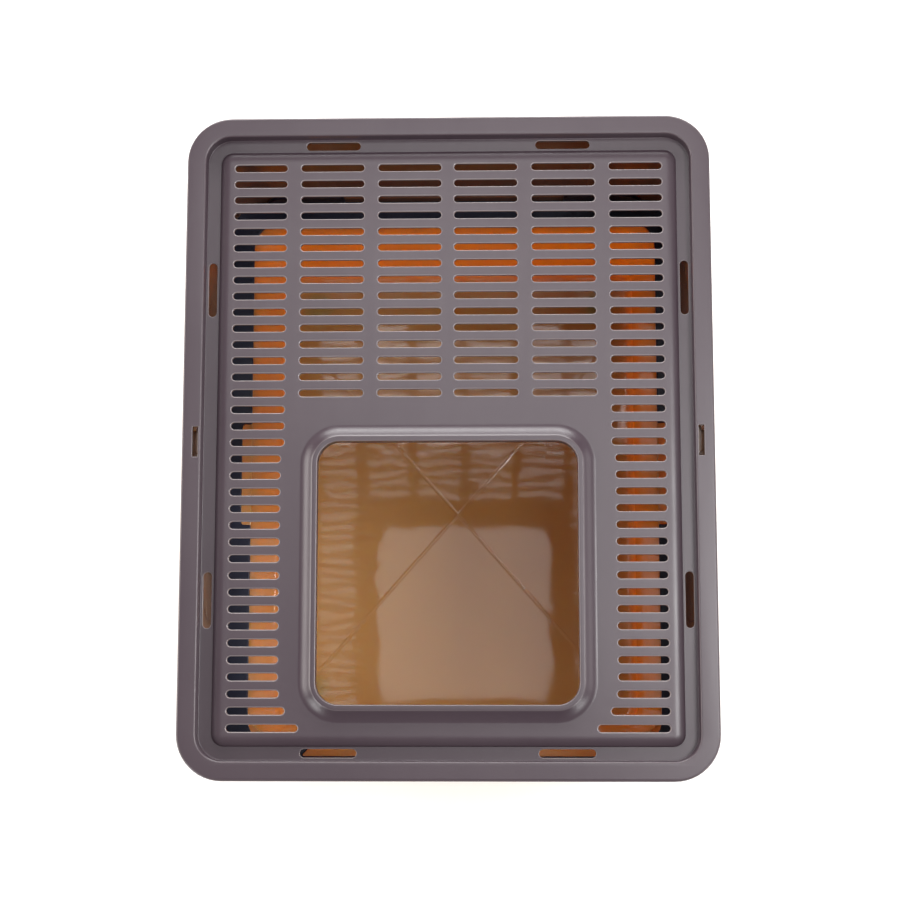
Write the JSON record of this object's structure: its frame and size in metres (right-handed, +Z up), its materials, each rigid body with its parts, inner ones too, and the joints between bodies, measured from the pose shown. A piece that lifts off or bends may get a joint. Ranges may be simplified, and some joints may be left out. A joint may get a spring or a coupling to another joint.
{
  "type": "top entry litter box",
  "caption": "Top entry litter box: a deep pan, a tall wall standing on a ledge ring, side latches and a slotted lift-off lid with a raised entry hole.",
  "frame": {"origin": "centre of the base, on the ground under the foot pads", "axes": "+Z up, -Y towards the front where the entry lies, +X to the right, +Y along the length"},
  "size_m": [0.4402, 0.5156, 0.37],
  "materials": {
    "taupe_plastic": "satin moulded polypropylene",
    "amber_plastic": "glossy moulded plastic, lets some light through",
    "navy_plastic": "fine-grained dark moulded plastic",
    "pad_rubber": "matt rubber",
    "pin_steel": "plain drawn wire"
  },
  "bodies": {
    "pan": {"litter_pan": "amber_plastic", "foot_front_left": "pad_rubber", "foot_front_right": "pad_rubber", "foot_back_left": "pad_rubber", "foot_back_right": "pad_rubber"},
    "wall": {"upper_shell": "amber_plastic", "ledge_ring": "navy_plastic", "latch_pin_left": "pin_steel", "latch_pin_right": "pin_steel"},
    "left_latch": {"latch_left": "navy_plastic"},
    "right_latch": {"latch_right": "navy_plastic"},
    "lid": {"lid_tray": "taupe_plastic"}
  },
  "joints": [
    {"name": "wall_lift", "type": "slide", "parent": "pan", "child": "wall", "axis": [0, 0, 1], "range_m": [0, 0.05]},
    {"name": "lid_lift", "type": "slide", "parent": "wall", "child": "lid", "axis": [0, 0, 1], "range_m": [0, 0.1]},
    {"name": "left_latch_turn", "type": "hinge", "parent": "wall", "child": "left_latch", "pos_m": [-0.2099, 0, 0.196], "axis": [0, 1, 0], "range_deg": [0, 92]},
    {"name": "right_latch_turn", "type": "hinge", "parent": "wall", "child": "right_latch", "pos_m": [0.2099, 0, 0.196], "axis": [0, -1, 0], "range_deg": [0, 92]}
  ],
  "couplings": [
    {"joint": "left_latch_turn", "follows": "wall_lift", "rad_per_m": 32},
    {"joint": "right_latch_turn", "follows": "wall_lift", "rad_per_m": 32}
  ]
}
